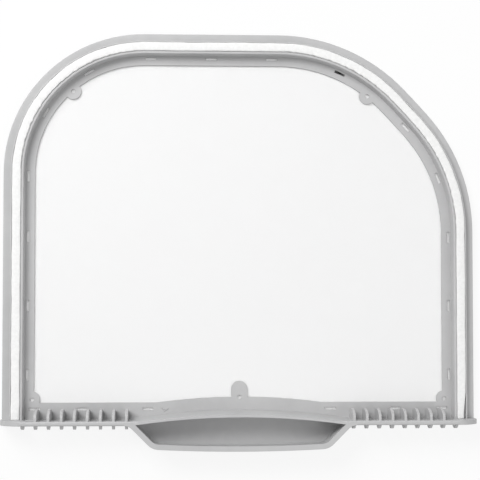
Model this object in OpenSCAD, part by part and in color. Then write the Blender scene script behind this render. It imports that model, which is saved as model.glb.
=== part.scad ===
// Dryer lint filter lying on its back: screen level, grip towards -Y, air side up.
// Every module draws in a working frame whose Y = 0 is the top face of the cross bar,
// and in_part_frame() moves it so that the origin is the middle of the underside.

/* [Rim outline] */
// Width of the rim across its two straight sides
rim_width = 355.2; // [300:0.1:420]
// Height of the rim above the cross bar
rim_height = 290.8; // [270:0.1:340]
// Outer radius of the plain corner
plain_corner_r = 105.5; // [70:0.5:130]
// Outer radius of both bends of the cut corner
cut_corner_r = 133.3; // [100:0.1:150]
// Radius of the flatter stretch between the two bends of the cut corner
cut_flat_r = 760; // [300:5:1200]

/* [Rim section] */
// Width of the ledge outside the felt channel
ledge_w = 5.8; // [4:0.1:9]
// Height of the ledge above the back
ledge_h = 6; // [4.5:0.1:8]
// Height of the channel lips above the back
rim_h = 11.2; // [9.5:0.1:16]
// Thickness of the channel's outer lip
outer_lip_w = 1.2; // [0.8:0.1:2]
// Thickness of the channel's inner lip at its top
inner_lip_w = 2; // [1.2:0.1:4]
// Depth of the felt channel below the lips
channel_depth = 2.1; // [1:0.1:3.5]
// How far the inner wall leans out from its top to the flange
wall_draft = 0.9; // [0:0.1:2]
// Wall thickness of the moulded rim
rim_wall = 2; // [1.2:0.1:2.6]
// Radius on the top edges of the ledge and the lips
edge_r = 0.5; // [0.2:0.05:0.55]

/* [Felt strip] */
// Width of the felt strip
felt_w = 6.4; // [4:0.1:12]
// Thickness of the felt strip
felt_t = 3.2; // [2:0.1:6]
// Radius on the felt's top edges
felt_edge_r = 0.8; // [0.3:0.05:1.5]
// Clearance between the felt and its channel
felt_gap = 0.1; // [0.05:0.01:0.3]

/* [Flange] */
// Thickness of the flange that holds the screen
flange_t = 3; // [2.2:0.1:4]
// Width of the flange between the inner wall and the open window
flange_w = 6.9; // [5:0.1:12]
// Height of the window's lower edge above the cross bar
sill_h = 12.3; // [11:0.1:20]
// How much the middle of the lower edge arches above its ends
sill_arch_h = 4.1; // [1:0.1:8]
// Radius of that arch
sill_arch_r = 472; // [300:1:900]

/* [Screen] */
// Thickness of the woven screen
mesh_t = 0.3; // [0.2:0.05:0.6]
// Height of the screen's middle plane above the back
mesh_z = 1.5; // [1:0.05:1.8]
// Clearance between the screen's edge and the groove that holds it
mesh_gap = 0.05; // [0.02:0.01:0.1]
// Distance from the inner wall to the edge of the screen, inside the flange
mesh_margin = 0.4; // [0.2:0.1:1]

/* [Clamping slots] */
// Length of a slot
slot_l = 8.2; // [5:0.1:12]
// Width of a slot
slot_w = 1.9; // [1.2:0.1:2.4]
// Distance from the inner wall to a slot's middle line
slot_offset = 1.9; // [1.7:0.1:2.4]
// Height of the lowest side slot above the cross bar
side_slot_first = 33.1; // [28:0.1:45]
// Spacing of the side slots
side_slot_pitch = 52; // [30:0.5:60]
// Spacing of the slots along the top
top_slot_pitch = 46; // [20:0.5:52]
// Height of the lower slots above the cross bar
sill_slot_h = 7.6; // [6:0.1:9]
// Distance of the inner lower slots from the middle of the bar
sill_slot_inner = 68.8; // [55:0.1:80]
// Distance of the outer lower slots from the rim's outer side
sill_slot_end = 23.8; // [22:0.1:30]
// Place of the middle lower slots, as a share of the way from the inner to the outer ones
sill_slot_share = 0.58; // [0.3:0.01:0.7]
// Distance of the highest side slot below the plain corner
corner_slot_drop = 2.7; // [0:0.1:15]

/* [Pads] */
// Radius of the pads round the holes
pad_r = 6.1; // [4:0.1:7]
// Radius of the round holes
pad_hole_r = 1.5; // [0.8:0.1:2.5]
// How far the lower pads' middles sit outside the window's sides
pad_side_out = 1.5; // [0:0.1:4]
// How far the lower pads' middles sit above the window's lower edge
pad_side_up = 2.4; // [0:0.1:4]
// How far the middle of the cut corner's pad sits outside the window's edge
pad_cut_out = 1; // [-1:0.1:4]
// Height of the middle pad's top above the cross bar
tab_top = 28.4; // [26:0.1:40]
// Height of the middle pad's hole above the cross bar
tab_hole_h = 16.4; // [12:0.1:20]

/* [Cross bar] */
// How far the cross bar reaches past the rim at each end
bar_overhang = 1; // [0.4:0.1:30]
// Depth of the cross bar, from the back to its front face
bar_d = 28; // [24:0.1:38]
// Thickness of the cross bar
bar_t = 3.3; // [2.4:0.1:5]
// Radius of the bar's front corners, seen along its thickness
bar_corner_r = 18; // [6:0.5:22]
// Radius of the bar's front edges
bar_edge_r = 0.9; // [0.4:0.05:1.1]

/* [Air grille] */
// Number of fins on each side of the handle
fin_count = 8; // [4:1:8]
// Distance from the middle of the bar to the first fin
grille_inner = 84.3; // [84:0.1:88]
// Distance from the rim's outer side to the end of the grille
grille_end = 16.9; // [16.5:0.1:30]
// Thickness of a fin
fin_t = 2; // [1.2:0.1:3]
// Greatest height of a fin above the bar
fin_h = 8.2; // [5:0.1:10]
// Radius of a fin's crowned top
fin_crown_r = 26; // [20:0.5:40]
// Distance from the back to the highest point of a fin
fin_crown_back = 13; // [8:0.5:15]
// Radius of a fin's top front corner
fin_corner_r = 3.5; // [2:0.1:4]
// Distance from the back to the air slots
air_slot_back = 8; // [5:0.1:9]
// Depth of the air slots
air_slot_d = 10; // [5:0.1:12]
// Height of the bumps under the bar
bump_h = 3; // [1.5:0.1:4]
// Length of the bumps, along the bar's depth
bump_l = 14; // [8:0.5:16]
// Distance from the bar's front face to the bumps
bump_front = 1; // [0.5:0.1:3]

/* [Scoop handle] */
// Half width of the scoop where it leaves the bar
scoop_half_w = 82.5; // [60:0.1:83]
// How far the scoop hangs below the bar
scoop_drop = 19; // [14:0.1:30]
// Slope of the scoop's ends
scoop_slope = 45; // [38:1:60]
// Radius of the scoop's lower corners
scoop_corner_r = 12; // [8:0.5:14]
// Radius of the scoop's slightly bowed lower edge
scoop_bow_r = 1200; // [900:10:3000]
// Radius of the fillet between the scoop's ends and the underside of the bar
scoop_fillet_r = 8; // [3:0.5:10]
// Wall thickness of the scoop
scoop_wall = 3.9; // [2.4:0.1:5]
// Distance from the back to the scoop's rear face
scoop_back = 4; // [2:0.1:6]
// Thickness of the wall behind the fingers
scoop_back_wall = 3; // [2:0.1:5]
// Outer radius of the scoop between its rear and its underside
scoop_round_r = 14; // [8:0.5:16]
// Height of the hood above the bar, at the flange
hood_h = 6.9; // [4:0.1:10]
// How much lower the hood is at its front edge
hood_fall = 2.3; // [1:0.1:4]
// Radius of the hood's arch
hood_arch_r = 550; // [500:5:900]
// Thickness of the hood at its front edge
hood_wall = 1.8; // [1.2:0.1:3]

/* [Hidden] */
$fn = 72;
// Corner centres of the rim's outline
top_y = rim_height;
side_x = rim_width / 2;
plain_c = [-side_x + plain_corner_r, top_y - plain_corner_r];
// The cut corner turns by the first angle, then flatly by the second, then up to a right angle
cut_turn = 41.8;
cut_flat_turn = 2;
cut_step = (cut_flat_r - cut_corner_r) * (dir(cut_turn + cut_flat_turn) - dir(cut_turn));
cut_c_top = [side_x - cut_corner_r + cut_step.x, top_y - cut_corner_r];
cut_c_side = [side_x - cut_corner_r, cut_c_top.y - cut_step.y];
cut_c_flat = cut_c_side - (cut_flat_r - cut_corner_r) * dir(cut_turn);
// Stations of the rim section, measured inwards from the outer edge
channel_u = ledge_w + outer_lip_w;
channel_w = felt_w + 2 * felt_gap;
inner_lip_u = channel_u + channel_w;
inner_wall_u = inner_lip_u + inner_lip_w;
flange_u = inner_wall_u + wall_draft;
window_u = flange_u + flange_w;
mesh_u = flange_u + mesh_margin;
slot_u = flange_u + slot_offset;
channel_z = rim_h - channel_depth;
// Outward directions of the slots round the plain corner
plain_slot_angles = [118.6, 148.5];
// The same on the upper bend of the cut corner, and on its lower bend
cut_slot_angle_top = 65.7;
cut_slot_angles_side = [44, 20.8];
// The sill's slots, by their distances from the middle
sill_slot_run = side_x - sill_slot_end - sill_slot_inner;
sill_slots = [for (share = [0, sill_slot_share, 1]) sill_slot_inner + share * sill_slot_run];
// The top slots are centred on the straight part of the top
top_slot_x = (plain_c.x + cut_c_top.x) / 2;
// Length of the bar, and spacing of the fins between the handle and the rim
bar_length = rim_width + 2 * bar_overhang;
fin_pitch = (side_x - grille_end - grille_inner) / fin_count;
// Outward directions of the two upper pads
pad_angle_plain = 131;
pad_angle_cut = 52;
// Lower edge of the screen, hidden in the flange under the sill slots
mesh_bottom = sill_slot_h - slot_w / 2 - mesh_margin;
// Lowest point of the scoop and the middle of the part
scoop_bottom = -bar_t - scoop_drop;
middle_y = (top_y + scoop_bottom) / 2;
// The hood falls by this angle from the flange to its front edge
hood_tilt = atan(hood_fall / (bar_d - flange_t));

// Unit vector in the direction a
function dir(a) = [cos(a), sin(a)];

// Point at a distance r and an angle a from the point c
function polar(c, r, a) = c + r * dir(a);

// Points of an arc of radius r round c, from angle a0 to a1
function arc(c, r, a0, a1, n = 2) = [for (i = [0:n]) polar(c, r, a0 + (a1 - a0) * i / n)];

module in_part_frame() translate([0, -middle_y, 0]) children();

// Moves by v in two steps, rounded and remainder, so that neighbouring sweeps meet exactly
module shift(v) {
    rounded = [for (x = v) round(100 * x) / 100];
    translate(rounded) translate(v - rounded) children();
}

// The rim's path, from the foot of the side next to the cut corner round to the other foot.
// Each step is a straight length, or a turn to the left and its radius.
function rim_steps(from_y) = [
    [cut_c_side.y - from_y],
    [cut_turn, cut_corner_r],
    [cut_flat_turn, cut_flat_r],
    [90 - cut_turn - cut_flat_turn, cut_corner_r],
    [cut_c_top.x - plain_c.x],
    [90, plain_corner_r],
    [plain_c.y - from_y]
];

// Carries a section, drawn with x inwards from the outer edge and y up, along the steps from step i.
// The outward direction there is a, a whole right angle on each straight.
module along_steps(steps, i = 0, a = 0)
    if (i < len(steps)) {
        if (len(steps[i]) == 1) {
            length = steps[i][0];
            rotate(a) translate([0, length, 0]) {
                rotate([90, 0, 0]) linear_extrude(length) mirror([1, 0]) children();
                rotate(-a) along_steps(steps, i + 1, a) children();
            }
        } else {
            turn = steps[i][0];
            r = steps[i][1];
            shift(-r * dir(a)) {
                rotate_extrude(angle = turn, start = a, $fn = 180)
                    translate([r, 0]) mirror([1, 0]) children();
                shift(r * dir(a + turn)) along_steps(steps, i + 1, a + turn) children();
            }
        }
    }

// Carries a section round the whole rim, both feet at the height from_y
module along_rim(from_y) translate([side_x, from_y, 0]) along_steps(rim_steps(from_y)) children();

// Outline of the rim moved inwards by u, closed by a straight line at the height from_y
function rim_line(u, from_y) = concat(
    [[-side_x + u, from_y], [side_x - u, from_y]],
    arc(cut_c_side, cut_corner_r - u, 0, cut_turn, 20),
    arc(cut_c_flat, cut_flat_r - u, cut_turn, cut_turn + cut_flat_turn),
    arc(cut_c_top, cut_corner_r - u, cut_turn + cut_flat_turn, 90, 20),
    arc(plain_c, plain_corner_r - u, 90, 180, 40)
);

// Section of the moulded rim: ledge, felt channel, leaning inner wall and flange, hollow from the back
module rim_section() {
    lip_top = rim_h - edge_r;
    polygon(concat(
        [[0, 0]],
        arc([edge_r, ledge_h - edge_r], edge_r, 180, 90),
        [[ledge_w, ledge_h]],
        arc([ledge_w + edge_r, lip_top], edge_r, 180, 90),
        arc([channel_u - edge_r, lip_top], edge_r, 90, 0),
        [[channel_u, channel_z], [inner_lip_u, channel_z]],
        arc([inner_lip_u + edge_r, lip_top], edge_r, 180, 90),
        arc([inner_wall_u - edge_r, lip_top], edge_r, 90, 0),
        [[flange_u, flange_t], [window_u, flange_t], [window_u, 0], [flange_u - rim_wall, 0]],
        [[inner_wall_u - rim_wall, channel_z - rim_wall]],
        [[ledge_w + rim_wall, channel_z - rim_wall], [ledge_w + rim_wall, ledge_h - rim_wall]],
        [[rim_wall, ledge_h - rim_wall], [rim_wall, 0]]
    ));
}

// Section of the felt strip, with its two top edges rounded
module felt_section() {
    left = channel_u + felt_gap;
    right = left + felt_w;
    bottom = channel_z + felt_gap;
    top = bottom + felt_t;
    polygon(concat(
        [[left, bottom]],
        arc([left + felt_edge_r, top - felt_edge_r], felt_edge_r, 180, 90, 3),
        arc([right - felt_edge_r, top - felt_edge_r], felt_edge_r, 90, 0, 3),
        [[right, bottom]]
    ));
}

// Where the pads sit: two on the corners, two at the ends of the sill
function pad_places() = [
    polar(plain_c, plain_corner_r - window_u, pad_angle_plain),
    polar(cut_c_top, cut_corner_r - window_u + pad_cut_out, pad_angle_cut),
    [-side_x + window_u - pad_side_out, sill_h + pad_side_up],
    [side_x - window_u + pad_side_out, sill_h + pad_side_up]
];

// Pads round the holes, and the round-topped tab in the middle of the sill
module pads() {
    for (p = pad_places()) translate(p) cylinder(r = pad_r, h = flange_t);
    translate([0, tab_top - pad_r, 0]) cylinder(r = pad_r, h = flange_t);
    translate([-pad_r, 0, 0]) cube([2 * pad_r, tab_top - pad_r, flange_t]);
}

// One slot through the flange, its long axis at the angle turn
module slot(at, turn)
    translate(at) rotate(turn) translate([-slot_l / 2, -slot_w / 2, 0]) cube([slot_l, slot_w, flange_t]);

// A slot on a bend, in the outward direction a from its centre
module bend_slot(centre, r, a)
    translate(centre) rotate(a) translate([r - slot_u - slot_w / 2, -slot_l / 2, 0])
        cube([slot_w, slot_l, flange_t]);

module slots() {
    // Along both straight sides
    for (i = [0:2], s = [-1, 1])
        slot([s * (side_x - slot_u), side_slot_first + i * side_slot_pitch], 90);
    slot([-side_x + slot_u, plain_c.y - corner_slot_drop], 90);
    // Along the top
    for (i = [-1:1])
        slot([top_slot_x + i * top_slot_pitch, top_y - slot_u], 0);
    // Round the corners
    for (a = plain_slot_angles) bend_slot(plain_c, plain_corner_r, a);
    for (a = cut_slot_angles_side) bend_slot(cut_c_side, cut_corner_r, a);
    bend_slot(cut_c_top, cut_corner_r, cut_slot_angle_top);
    // Along the sill
    for (x = sill_slots, s = [-1, 1])
        slot([s * x, sill_slot_h], 0);
}

// The screen, grown by the clearance where it cuts the frame's groove
module screen(grow = 0)
    translate([0, 0, mesh_z - mesh_t / 2 - grow]) linear_extrude(mesh_t + 2 * grow)
        polygon(rim_line(mesh_u - grow, mesh_bottom - grow));

// The flange under the window, with its arched upper edge
module sill() {
    half_w = side_x - window_u + rim_wall;
    foot = -bar_t / 2;
    translate([-half_w, foot, 0]) cube([2 * half_w, sill_h - foot, flange_t]);
    intersection() {
        translate([0, sill_h + sill_arch_h - sill_arch_r, 0]) cylinder(r = sill_arch_r, h = flange_t);
        translate([-side_x / 2, foot, -1]) cube([side_x, tab_top, flange_t + 2]);
    }
}

// What is open in the flange: the slots, the pads' holes and the groove that holds the screen
module flange_cuts() {
    slots();
    for (p = pad_places()) translate(p) cylinder(r = pad_hole_r, h = flange_t);
    translate([0, tab_hole_h, 0]) cylinder(r = pad_hole_r, h = flange_t);
    screen(mesh_gap);
}

// The cross bar: a rounded edge profile along its length, cut to the plan with round corners
module bar() {
    front = bar_d - bar_edge_r;
    intersection() {
        along_bar() polygon(concat(
            [[-bar_t, 0], [0, 0]],
            arc([-bar_edge_r, front], bar_edge_r, 0, 90),
            arc([-bar_t + bar_edge_r, front], bar_edge_r, 90, 180)
        ));
        rotate([90, 0, 0]) translate([0, 0, -1]) linear_extrude(bar_t + 2) bar_plan();
    }
}

// Plan of the bar: x along it, y from its back to its front
module bar_plan() {
    half = bar_length / 2;
    inner = half - bar_corner_r;
    translate([-half, 0]) square([bar_length, bar_d - bar_corner_r]);
    translate([-inner, 0]) square([2 * inner, bar_d]);
    for (s = [-1, 1]) translate([s * inner, bar_d - bar_corner_r]) circle(bar_corner_r);
}

// Air slots through the bar, under the fins
module air_slots()
    for (s = [-1, 1])
        translate([s > 0 ? grille_inner : -grille_inner - fin_count * fin_pitch, -bar_t - 1, air_slot_back])
            cube([fin_count * fin_pitch, bar_t + 2, air_slot_d]);

// Side view of a fin: crowned top, round front corner, down into the bar
module fin_profile() {
    front = bar_d - bar_edge_r;
    crown = [fin_crown_back, fin_h - fin_crown_r];
    reach = fin_crown_r - fin_corner_r;
    corner_x = front - fin_corner_r;
    corner = [corner_x, crown.y + sqrt(pow(reach, 2) - pow(corner_x - crown.x, 2))];
    turn = atan2(corner.y - crown.y, corner.x - crown.x);
    polygon(concat(
        [[0, -bar_t / 2]],
        arc(crown, fin_crown_r, acos(-crown.x / fin_crown_r), turn, 10),
        arc(corner, fin_corner_r, turn, 0, 4),
        [[front, -bar_t / 2]]
    ));
}

// Side view of a bump: a shallow arc under the bar
module bump_profile() {
    r = (pow(bump_l / 2, 2) + pow(bump_h, 2)) / (2 * bump_h);
    intersection() {
        translate([bar_d - bump_front - bump_l / 2, -bar_t - bump_h + r]) circle(r);
        translate([0, -bar_t - bump_h]) square([bar_d, bump_h + bar_t / 2]);
    }
}

// A plate of the fins' thickness, standing across the bar at x, from a side view in depth and height
module across_bar(x)
    translate([x - fin_t / 2, 0, 0]) rotate([90, 0, 90]) linear_extrude(fin_t)
        mirror([1, -1]) children();

module grille()
    for (s = [-1, 1]) {
        for (i = [0:fin_count - 1]) across_bar(s * (grille_inner + i * fin_pitch)) fin_profile();
        for (i = [0:fin_count]) across_bar(s * (grille_inner + i * fin_pitch)) bump_profile();
    }

// Centre of the scoop's lower corner: it touches the sloping end and the bowed lower edge
end_n = [sin(scoop_slope), -cos(scoop_slope)];
end_m = [cos(scoop_slope), sin(scoop_slope)];
end_d = end_n * [scoop_half_w, -bar_t] - scoop_corner_r;
bow_c = [0, scoop_bottom + scoop_bow_r];
bow_off = end_d * end_n - bow_c;
bow_reach = scoop_bow_r - scoop_corner_r;
corner_t = -(bow_off * end_m) - sqrt(pow(bow_off * end_m, 2) - bow_off * bow_off + pow(bow_reach, 2));
corner_c = end_d * end_n + corner_t * end_m;

// Points of the scoop's front view moved inwards by u, from its right end round to its left end
function scoop_bowl(u) = let(
    r = scoop_corner_r - u,
    bow_a = atan2(corner_c.x, bow_c.y - corner_c.y),
    right = arc(corner_c, r, scoop_slope - 90, bow_a - 90, 12),
    bow = arc(bow_c, scoop_bow_r - u, bow_a - 90, -bow_a - 90, 12)
) concat(
    right,
    [for (i = [1:len(bow) - 2]) bow[i]],
    [for (i = [len(right) - 1:-1:0]) [-right[i].x, right[i].y]]
);

// Front view of the scoop, blended into the bar by a fillet at each end
module scoop_outside() {
    reach = scoop_fillet_r * tan(scoop_slope / 2);
    centre = [scoop_half_w + reach, -bar_t - scoop_fillet_r];
    blend = arc(centre, scoop_fillet_r, 90, 90 + scoop_slope, 6);
    top = -bar_t / 2;
    polygon(concat(
        [[centre.x, top]], blend, scoop_bowl(0),
        [for (i = [len(blend) - 1:-1:0]) [-blend[i].x, blend[i].y]], [[-centre.x, top]]
    ));
}

// Front view of the pocket, its ends running on up to the height top
module scoop_inside(top) {
    bowl = scoop_bowl(scoop_wall);
    end_x = bowl[0].x + (top - bowl[0].y) * end_m.x / end_m.y;
    polygon(concat([[end_x, top]], bowl, [[-end_x, top]]));
}

// Side view of the scoop, with its rear lower edge rounded: x is height, y is depth
module scoop_side(back, bottom, r, top)
    polygon(concat(
        [[top, back]],
        [[top, bar_d + 1], [bottom, bar_d + 1]],
        arc([bottom + r, back + r], r, 180, 270, 16)
    ));

// Carries a side view, drawn in height and depth, along the bar
module along_bar()
    translate([-bar_length / 2, 0, 0]) rotate([90, 0, 90]) linear_extrude(bar_length) children();

// The scoop's outer form below the bar
module scoop()
    intersection() {
        linear_extrude(bar_d) scoop_outside();
        along_bar() scoop_side(scoop_back, scoop_bottom, scoop_round_r, 0);
    }

// Everything below the hood's arched top, which falls towards the front
module under_arch(drop)
    translate([0, hood_h - drop, flange_t]) rotate([hood_tilt, 0, 0])
        translate([0, -hood_arch_r, -bar_d]) cylinder(r = hood_arch_r, h = 3 * bar_d, $fn = 720);

// The arched hood over the pocket
module hood()
    intersection() {
        under_arch(0);
        translate([-grille_inner, -bar_t / 2, 0]) cube([2 * grille_inner, hood_h + bar_t, bar_d]);
    }

// The room for the fingers, open at the front
module pocket()
    intersection() {
        linear_extrude(bar_d + 1) scoop_inside(hood_h);
        along_bar() scoop_side(
            scoop_back + scoop_back_wall, scoop_bottom + scoop_wall,
            scoop_round_r - scoop_back_wall, hood_h
        );
        under_arch(hood_wall);
    }

module frame()
    color("silver") in_part_frame() difference() {
        union() {
            along_rim(-bar_t / 2) rim_section();
            sill();
            pads();
            difference() {
                bar();
                air_slots();
            }
            grille();
            hood();
            scoop();
        }
        pocket();
        flange_cuts();
    }

module mesh_screen() {
    color("whitesmoke") in_part_frame()
        screen();
}

module felt_seal() {
    color("white") in_part_frame() along_rim(felt_gap) felt_section();
}

frame();
mesh_screen();
felt_seal();
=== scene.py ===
"""Dryer lint filter, dressed: grey moulding, woven screen and felt seal, lying on its back."""
import math

import bpy
import numpy as np
from mathutils import Matrix, Vector


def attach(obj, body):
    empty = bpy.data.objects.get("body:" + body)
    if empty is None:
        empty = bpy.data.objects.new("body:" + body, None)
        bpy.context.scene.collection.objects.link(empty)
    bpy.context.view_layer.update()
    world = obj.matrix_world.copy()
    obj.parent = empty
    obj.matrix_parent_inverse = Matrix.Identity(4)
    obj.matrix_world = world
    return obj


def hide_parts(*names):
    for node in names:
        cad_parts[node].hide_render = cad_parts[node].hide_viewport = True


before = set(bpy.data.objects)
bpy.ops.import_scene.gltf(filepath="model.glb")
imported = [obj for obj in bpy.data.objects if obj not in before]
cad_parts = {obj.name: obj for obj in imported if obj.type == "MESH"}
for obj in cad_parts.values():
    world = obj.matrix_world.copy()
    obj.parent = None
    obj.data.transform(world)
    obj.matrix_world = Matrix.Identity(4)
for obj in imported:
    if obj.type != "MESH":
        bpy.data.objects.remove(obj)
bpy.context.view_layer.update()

MM = 0.001

# The picture's width in pixels, its focal length in the same pixels, and the sensor's width in mm
PHOTO, FOCAL, SENSOR = 480, 1452.3, 36.0

# Sizes below are in millimetres, and heights in the plane of the screen are above the cross bar.
# The rim's outer edge, and how far the part's middle lies above the bar
SIDE_X, TOP_Y, MIDDLE_Y = 177.6, 290.8, 134.25
PLAIN_R, CUT_R, FLAT_R = 105.5, 133.3, 760.0
CUT_TURN, FLAT_TURN = math.radians(41.8), math.radians(2.0)
# The felt: distance of its outer side from the rim's edge, its section, and its underside
CHANNEL, FELT_WIDTH, FELT_THICK, FELT_BOTTOM = 7.1, 6.4, 3.2, 9.2
# How much lower the felt's top is at its edges than along its middle
FELT_CROWN = 0.22
# The screen: distance of its edge from the rim's edge, its level, and its lower edge
SCREEN_EDGE, SCREEN_Z, SCREEN_FOOT = 16.9, 1.5, 6.25
# How far the screen sags in its middle, and the height of its faint ripple
SCREEN_SAG, SCREEN_RIPPLE = 0.18, 0.03
# Level of the flat below the window, and how far the tick stands over it
SILL_Z, TICK_RISE = 3.0, 0.35
# How white the floor looks to the camera, and the strength of the room's light
FLOOR_WHITE, ROOM_LIGHT = 0.86, 0.42


def unit(a):
    """(cos a, sin a)"""
    return np.stack([np.cos(a), np.sin(a)], axis=-1)


# Centres of the bends
PLAIN_C = np.array([-SIDE_X + PLAIN_R, TOP_Y - PLAIN_R])
CUT_STEP = (FLAT_R - CUT_R) * (unit(CUT_TURN + FLAT_TURN) - unit(CUT_TURN))
TOP_C = np.array([SIDE_X - CUT_R + CUT_STEP[0], TOP_Y - CUT_R])
SIDE_C = np.array([SIDE_X - CUT_R, TOP_C[1] - CUT_STEP[1]])
FLAT_C = SIDE_C - (FLAT_R - CUT_R) * unit(CUT_TURN)


def rim_line(foot, step):
    """The rim's outer edge from one foot round to the other, about every step millimetres.

    On a straight p = p0 + t (p1 - p0), and on a bend p = c + r (cos a, sin a).
    Returns the points, their outward normals, how far the line has run, and how sharply it bends.
    """
    a1, a2, right = CUT_TURN, CUT_TURN + FLAT_TURN, math.pi / 2
    parts = []
    for kind in (
        ("line", (SIDE_X, foot), (SIDE_X, SIDE_C[1]), 0),
        ("arc", SIDE_C, CUT_R, 0, a1),
        ("arc", FLAT_C, FLAT_R, a1, a2),
        ("arc", TOP_C, CUT_R, a2, right),
        ("line", (TOP_C[0], TOP_Y), (PLAIN_C[0], TOP_Y), right),
        ("arc", PLAIN_C, PLAIN_R, right, math.pi),
        ("line", (-SIDE_X, PLAIN_C[1]), (-SIDE_X, foot), math.pi),
    ):
        if kind[0] == "line":
            p0, p1 = np.array(kind[1]), np.array(kind[2])
            t = np.linspace(0, 1, max(2, round(np.linalg.norm(p1 - p0) / step)))[:, None]
            p, n, bend = p0 + t * (p1 - p0), unit(np.full(len(t), kind[3])), 0.0
        else:
            _, c, r, a, b = kind
            n = unit(np.linspace(a, b, max(2, round(r * (b - a) / step))))
            p, bend = c + r * n, 100 / r
        parts.append((p[:-1], n[:-1], np.full(len(p) - 1, bend)))
    parts.append((p[-1:], n[-1:], np.zeros(1)))
    points, normals, bends = (np.concatenate(x) for x in zip(*parts))
    run = np.concatenate([[0], np.cumsum(np.linalg.norm(np.diff(points, axis=0), axis=1))])
    soft = np.exp(-np.linspace(-2, 2, 41) ** 2)
    return points, normals, run, np.convolve(np.pad(bends, 20, mode="edge"), soft / soft.sum(), "valid")


def waver(run, sizes, seed):
    """Sum of A sin(2 pi s / L + phase), one term for each (A, L), phases from the seed"""
    phases = np.random.default_rng(seed).uniform(0, 2 * math.pi, len(sizes))
    return sum(a * np.sin(2 * math.pi * run / w + f) for (a, w), f in zip(sizes, phases))


def smooth(x, low, high):
    """3 t^2 - 2 t^3 with t from 0 at low to 1 at high"""
    t = np.clip((x - low) / (high - low), 0, 1)
    return t * t * (3 - 2 * t)


def put_mesh(name, points, faces, uv=None, smooth_faces=True):
    """A piece from millimetre points above the bar, moved into the part's frame in metres"""
    flat = np.asarray(points, float).reshape(-1, 3).copy()
    flat[:, 1] -= MIDDLE_Y
    mesh = bpy.data.meshes.new(name)
    mesh.from_pydata((flat * MM).tolist(), [], [list(f) for f in faces])
    if uv is not None:
        corner = np.empty(len(mesh.loops), int)
        mesh.loops.foreach_get("vertex_index", corner)
        layer = mesh.uv_layers.new(name="along")
        layer.data.foreach_set("uv", np.asarray(uv, float).reshape(-1, 2)[corner].ravel())
    mesh.polygons.foreach_set("use_smooth", [smooth_faces] * len(mesh.polygons))
    mesh.update()
    mesh.validate()
    piece = bpy.data.objects.new(name, mesh)
    bpy.context.scene.collection.objects.link(piece)
    return piece


def grid_faces(rows, columns, closed=False):
    """Quads of a grid whose columns close round into a tube where closed is set"""
    i, j = np.meshgrid(np.arange(rows - 1), np.arange(columns if closed else columns - 1), indexing="ij")
    k = (j + 1) % columns
    quads = np.stack([i * columns + j, i * columns + k, (i + 1) * columns + k, (i + 1) * columns + j], -1)
    return quads.reshape(-1, 4)


class Number:
    """A number on a node's socket. Arithmetic with it adds Math nodes to its finish."""

    def __init__(self, finish, socket):
        self.finish, self.socket = finish, socket

    def math(self, operation, *others):
        """This number first, and then the others"""
        sockets = dict(enumerate((self, *others)))
        made = self.finish.node("ShaderNodeMath", {"operation": operation}, sockets)
        return Number(self.finish, made.outputs[0])

    def turned(self, operation, other):
        """The other number first, and then this one"""
        made = self.finish.node("ShaderNodeMath", {"operation": operation}, {0: other, 1: self})
        return Number(self.finish, made.outputs[0])

    def __add__(self, other):
        return self.math("ADD", other)

    def __sub__(self, other):
        return self.math("SUBTRACT", other)

    def __mul__(self, other):
        return self.math("MULTIPLY", other)

    def __truediv__(self, other):
        return self.math("DIVIDE", other)

    def __rsub__(self, other):
        return self.turned("SUBTRACT", other)

    def __rtruediv__(self, other):
        return self.turned("DIVIDE", other)

    __radd__, __rmul__ = __add__, __mul__

    def __abs__(self):
        return self.math("ABSOLUTE")

    def larger(self, other):
        return self.math("MAXIMUM", other)

    def part(self):
        return self.math("FRACT")

    def whole(self):
        return self.math("FLOOR")

    def sine(self):
        return self.math("SINE")

    def root(self):
        return self.larger(0.0).math("SQRT")

    def step(self, low, high):
        """0 at low and below, 1 at high and above, smooth between"""
        made = self.finish.node(
            "ShaderNodeMapRange",
            {"interpolation_type": "SMOOTHSTEP"},
            {"Value": self, "From Min": low, "From Max": high},
        )
        return Number(self.finish, made.outputs["Result"])


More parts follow.
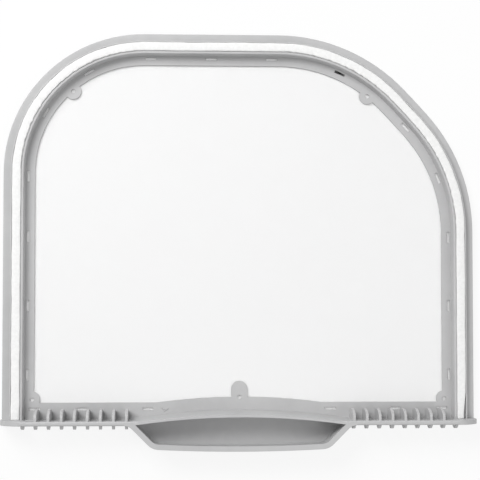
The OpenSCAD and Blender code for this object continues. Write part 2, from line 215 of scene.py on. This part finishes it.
class Finish:
    """A material with one Principled shader, whose constant sockets are set by name"""

    def __init__(self, name, **constants):
        self.material = bpy.data.materials.new(name)
        self.material.use_nodes = True
        self.tree = self.material.node_tree
        self.shader = self.tree.nodes["Principled BSDF"]
        self.output = self.tree.nodes["Material Output"]
        for socket, value in constants.items():
            self.shader.inputs[socket.replace("_", " ")].default_value = value

    def node(self, kind, settings, sockets):
        """A node of a kind, with its settings first and then the values or links of its sockets"""
        made = self.tree.nodes.new(kind)
        for name, value in settings.items():
            setattr(made, name, value)
        for name, value in sockets.items():
            self.set(made.inputs[name], value)
        return made

    def set(self, socket, value):
        """Links a Number or a node's socket, and writes anything else as the socket's own value"""
        if isinstance(value, Number):
            value = value.socket
        if isinstance(value, bpy.types.NodeSocket):
            self.tree.links.new(value, socket)
        else:
            socket.default_value = value

    def put(self, socket, value):
        """Sets one of the shader's sockets, by name"""
        self.set(self.shader.inputs[socket], value)

    def place(self):
        """Object coordinates, as a vector socket and as its three numbers"""
        point = self.node("ShaderNodeTexCoord", {}, {}).outputs["Object"]
        axes = self.node("ShaderNodeSeparateXYZ", {}, {0: point}).outputs
        return point, [Number(self, a) for a in axes]

    def along(self):
        """The piece's own map: along it and across it, in metres"""
        return self.node("ShaderNodeUVMap", {"uv_map": "along"}, {}).outputs[0]

    def noise(self, point, scale, detail=2.0, roughness=0.5):
        """Soft noise of about scale lumps a metre"""
        sockets = {"Vector": point, "Scale": scale, "Detail": detail, "Roughness": roughness}
        return Number(self, self.node("ShaderNodeTexNoise", {}, sockets).outputs[0])

    def stretched(self, point, scale):
        """A point scaled apart along its three axes"""
        return self.node("ShaderNodeVectorMath", {"operation": "MULTIPLY"}, {0: point, 1: scale}).outputs[0]

    def between(self, amount, dark, light):
        """A colour from dark to light as amount goes from 0 to 1"""
        sockets = {0: amount, 6: (*dark, 1.0), 7: (*light, 1.0)}
        return self.node("ShaderNodeMix", {"data_type": "RGBA"}, sockets).outputs[2]

    def bump(self, height, strength, distance, under=None):
        """Relief of a height from 0 to 1 over a distance in metres, on top of another normal if given"""
        sockets = {"Height": height, "Strength": strength, "Distance": distance}
        if under is not None:
            sockets["Normal"] = under
        self.put("Normal", self.node("ShaderNodeBump", {}, sockets).outputs[0])


def moulded_grey():
    """Neutral grey plastic: fine spark-eroded grain, faint flow clouds and softened edges"""
    f = Finish("moulded_grey", IOR=1.5, Roughness=0.46)
    point, _ = f.place()
    clouds = f.noise(point, 16.0, 3.0)
    grain = f.noise(point, 3600.0, 2.0, 0.6)
    patches = f.noise(point, 140.0, 3.0)
    tone = (clouds * 0.55 + patches * 0.3 + grain * 0.15).step(0.25, 0.75)
    f.put("Base Color", f.between(tone, (0.470, 0.470, 0.474), (0.530, 0.530, 0.532)))
    f.put("Roughness", 0.40 + patches * 0.08 + grain * 0.06)
    edge = f.node("ShaderNodeBevel", {"samples": 6}, {"Radius": 0.0004}).outputs[0]
    f.bump(grain * 0.7 + patches * 0.3, 0.35, 0.00003, edge)
    return f.material


def woven_screen():
    """Plain weave of round threads: height = root(1 - d^2) plus the over and under wave, which also paints
    shade on the threads' sides and where they pass under
    """
    pitch, half = 0.00066, 0.27
    f = Finish("woven_screen", IOR=1.5, Roughness=0.55)
    point, (x, y, _) = f.place()
    slack = f.noise(point, 60.0, 1.0)
    u, v = x / pitch + slack * 0.25, y / pitch + slack * 0.25
    du, dv = abs(u.part() - 0.5) / half, abs(v.part() - 0.5) / half
    warp_up = (v * math.pi + u.whole() * math.pi).sine() * 0.5 + 0.5
    warp = (1.0 - du * du).root()
    weft = (1.0 - dv * dv).root()
    height = (warp * (0.45 + warp_up * 0.55)).larger(weft * (1.0 - warp_up * 0.55))
    covered = (warp.larger(weft)).step(0.02, 0.3)
    f.put("Alpha", covered)
    # Painted shade: the colour darkens as the thread height drops, on the threads' rounded sides and where
    # one thread passes under another
    f.put("Base Color", f.between(height, (0.80, 0.80, 0.80), (0.93, 0.93, 0.93)))
    f.bump(height, 0.6, 0.00012)
    return f.material


def needled_felt():
    """White felt: long fibres along the strip over a soft lumpy ground"""
    f = Finish("needled_felt", Roughness=0.95, Sheen_Weight=0.25, Sheen_Roughness=0.6)
    f.put("Sheen Tint", (1.0, 1.0, 1.0, 1.0))
    point, _ = f.place()
    map_point = f.along()
    lumps = f.noise(point, 420.0, 4.0, 0.6)
    fibres = f.noise(f.stretched(map_point, (900.0, 5200.0, 1.0)), 1.0, 3.0, 0.65)
    crossed = f.noise(f.stretched(map_point, (4200.0, 1100.0, 1.0)), 1.0, 2.0, 0.6)
    tone = (lumps * 0.45 + fibres * 0.35 + crossed * 0.2).step(0.3, 0.7)
    f.put("Base Color", f.between(tone, (0.80, 0.80, 0.795), (0.91, 0.91, 0.905)))
    f.bump(fibres * 0.5 + crossed * 0.25 + lumps * 0.6, 0.7, 0.00018)
    return f.material


def signed_power(x, p):
    """sign(x) |x|^p, which squares up a circle's sine and cosine where p is under 1"""
    return np.sign(x) * np.abs(x) ** p


def felt_strip():
    """The felt in its channel, swept round the rim.

    Its section is a rounded box: side is cos^0.32 t, from -1 at the outer edge to 1 at the inner one,
    and rise is sin^0.42 t. Each edge moves by a sum of waves along the rim, a quarter of it at the
    bottom and all of it on top, where no channel wall holds the felt. Pleats grow with the bend, and
    the outer edge stands back at the right foot. The top is lower by c side^2, and a little lumpy.
    """
    points, normals, run, bend = rim_line(0.1, 0.9)
    across = 40
    t = np.linspace(0, 2 * math.pi, across, endpoint=False) + math.pi / across
    side, rise = signed_power(np.cos(t), 0.32), signed_power(np.sin(t), 0.42)
    top = np.maximum(rise, 0)
    give = 0.25 + 0.75 * top
    half = FELT_WIDTH / 2
    outer = waver(run, ((0.12, 61), (0.10, 23), (0.05, 9.5)), 3)[:, None]
    inner = waver(run, ((0.12, 53), (0.10, 19), (0.06, 8.1)), 4)[:, None]
    pleats = (bend * waver(run, ((0.5, 7.3), (0.35, 4.9), (0.3, 11.7)), 5))[:, None]
    foot = (1.5 * (1 - smooth(run, 3, 22)))[:, None]
    outer_edge = outer * give + foot * (1.8 - give)
    inner_edge = (inner + 0.5 * pleats) * give
    u = CHANNEL + half * (1 + side) + np.abs(side) * np.where(side < 0, outer_edge, inner_edge)
    lumps = waver(run, ((0.05, 31), (0.05, 13)), 6)[:, None]
    lumps = lumps + 0.16 * pleats * (0.4 + 0.6 * np.maximum(side, 0))
    z = FELT_BOTTOM + FELT_THICK / 2 * (1 + rise) + top * (lumps - FELT_CROWN * side**2)
    xy = points[:, None] - u[..., None] * normals[:, None]
    grid = np.concatenate([xy, z[..., None]], axis=-1)
    rows = len(points)
    arc = np.cumsum(np.r_[0, np.hypot(np.diff(half * side), np.diff(FELT_THICK / 2 * rise))])
    uv = np.stack(np.broadcast_arrays(run[:, None] * MM, arc * MM), -1)
    quads = grid_faces(rows, across, closed=True)
    caps = [np.arange(across)[::-1], (rows - 1) * across + np.arange(across)]
    piece = put_mesh("felt_strip", grid, quads.tolist() + [c.tolist() for c in caps], uv)
    piece.data.materials.append(needled_felt())
    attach(piece, "root")
    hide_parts("felt_seal")


def screen_sides(y):
    """Left and right edge of the screen at the heights y, x = c - root(r^2 - (y - c)^2) or c + the root"""
    u = SCREEN_EDGE

    def circle(centre, radius):
        """Half the chord of a bend's circle, drawn in by the screen's distance from the rim's edge"""
        return np.sqrt(np.maximum((radius - u) ** 2 - (y - centre[1]) ** 2, 0))

    left = np.where(y < PLAIN_C[1], u - SIDE_X, PLAIN_C[0] - circle(PLAIN_C, PLAIN_R))
    first = SIDE_C[1] + (CUT_R - u) * math.sin(CUT_TURN)
    second = FLAT_C[1] + (FLAT_R - u) * math.sin(CUT_TURN + FLAT_TURN)
    right = np.select(
        [y < SIDE_C[1], y < first, y < second],
        [SIDE_X - u, SIDE_C[0] + circle(SIDE_C, CUT_R), FLAT_C[0] + circle(FLAT_C, FLAT_R)],
        TOP_C[0] + circle(TOP_C, CUT_R),
    )
    return left, right


def screen_cloth():
    """The woven screen, stretched in the flange: z = z0 - slack sin(pi a) sin(pi b), with a faint ripple"""
    rows, columns = 110, 120
    b = np.sin(np.linspace(0, math.pi / 2, rows))
    y = SCREEN_FOOT + (TOP_Y - SCREEN_EDGE - SCREEN_FOOT) * b
    left, right = screen_sides(y)
    a = np.linspace(0, 1, columns)
    x = left[:, None] + (right - left)[:, None] * a
    y = np.broadcast_to(y[:, None], x.shape)
    inside = np.clip(np.sin(math.pi * a) * np.sin(math.pi * b[:, None]), 0, 1)
    ripple = SCREEN_RIPPLE * np.sin(x / 17) * np.sin(y / 23 + 1)
    z = SCREEN_Z + inside * (ripple - SCREEN_SAG)
    grid = np.stack([x, y, z], -1)
    uv = np.stack([x, y], -1) * MM
    piece = put_mesh("screen_cloth", grid, grid_faces(rows, columns).tolist(), uv)
    piece.data.materials.append(woven_screen())
    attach(piece, "root")
    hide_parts("mesh_screen")


def tick(grey):
    """A plain raised tick beside a lower slot: two strokes that meet in a mitre and narrow upwards"""
    at = np.array([-56.3, 6.9])
    line = np.array([[-2.3, 1.3], [0.0, -0.9], [3.0, 1.4]])
    ahead = np.diff(line, axis=0)
    ahead /= np.linalg.norm(ahead, axis=1)[:, None]
    square = np.stack([-ahead[:, 1], ahead[:, 0]], -1)
    mitre = square.sum(0)
    mitre /= mitre @ square[0]
    off = np.stack([square[0], mitre, square[1]])
    wide = np.array([0.30, 0.34, 0.42])[:, None]

    def edge(share, rise):
        """The line moved sideways by a share of its half width, at a rise over the flat"""
        return np.concatenate([line + share * wide * off + at, np.full((3, 1), SILL_Z + rise)], 1)

    section = np.stack([edge(-1.3, 0), edge(-0.7, TICK_RISE), edge(0.7, TICK_RISE), edge(1.3, 0)], 1)
    faces = grid_faces(3, 4, closed=True).tolist() + [[0, 1, 2, 3], [11, 10, 9, 8]]
    piece = put_mesh("tick", section, faces, smooth_faces=False)
    piece.data.materials.append(grey)
    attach(piece, "root")


def dress_frame(grey):
    """The moulding keeps its solid and takes the grey finish"""
    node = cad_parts["frame"]
    node.data.materials.clear()
    node.data.materials.append(grey)


def stage():
    """A pale floor that stays white to the camera and keeps a share of the shadow, and a white room"""
    f = Finish("pale_floor", Roughness=0.9)
    f.put("Base Color", (0.86, 0.86, 0.86, 1.0))
    f.put("Specular IOR Level", 0.1)
    path = f.node("ShaderNodeLightPath", {}, {}).outputs
    seen = Number(f, path["Is Camera Ray"]).larger(Number(f, path["Is Glossy Ray"]))
    seen = seen.larger(Number(f, path["Is Transmission Ray"])) * FLOOR_WHITE
    white = f.node("ShaderNodeEmission", {}, {"Color": (1, 1, 1, 1), "Strength": 1.0}).outputs[0]
    mixed = f.node("ShaderNodeMixShader", {}, {0: seen, 1: f.shader.outputs[0], 2: white}).outputs[0]
    f.set(f.output.inputs[0], mixed)
    mesh = bpy.data.meshes.new("floor")
    mesh.from_pydata([(-4, -4, 0), (4, -4, 0), (4, 4, 0), (-4, 4, 0)], [], [(0, 1, 2, 3)])
    mesh.materials.append(f.material)
    floor = bpy.data.objects.new("floor", mesh)
    bpy.context.scene.collection.objects.link(floor)

    world = bpy.data.worlds.new("room")
    bpy.context.scene.world = world
    world.use_nodes = True
    room = world.node_tree.nodes["Background"].inputs
    room["Color"].default_value = (1, 1, 1, 1)
    room["Strength"].default_value = ROOM_LIGHT


def softbox(name, place, aim, size, power):
    """A square lamp of a size, turned to its aim"""
    data = bpy.data.lights.new(name, "AREA")
    data.size, data.energy = size, power
    lamp = bpy.data.objects.new(name, data)
    lamp.location = place
    lamp.rotation_euler = (Vector(aim) - Vector(place)).to_track_quat("-Z", "Y").to_euler()
    bpy.context.scene.collection.objects.link(lamp)


def camera():
    """Looks down from left of the middle and towards the handle, so that the near parts lean as seen"""
    data = bpy.data.cameras.new("camera")
    data.sensor_width, data.lens = SENSOR, FOCAL / PHOTO * SENSOR
    eye = bpy.data.objects.new("camera", data)
    place = Vector((-0.0514, 0.0862 - MIDDLE_Y * MM, 1.1014))
    aim = Vector((0.0006, 0.1349 - MIDDLE_Y * MM, 0.0))
    ahead = (aim - place).normalized()
    right = ahead.cross(Vector((0, 1, 0))).normalized()
    up = right.cross(ahead)
    eye.location = place
    eye.rotation_euler = Matrix((right, up, -ahead)).transposed().to_euler()
    data.clip_start, data.clip_end = 0.01, 50
    bpy.context.scene.collection.objects.link(eye)
    bpy.context.scene.camera = eye


camera()
grey = moulded_grey()
dress_frame(grey)
felt_strip()
screen_cloth()
tick(grey)
stage()
softbox("key", (-0.75, 0.85, 1.25), (0, 0, 0), 0.9, 22)
softbox("fill", (0.9, -0.5, 1.2), (0, 0, 0), 1.0, 5)

view = bpy.context.scene.view_settings
view.view_transform = "Standard"
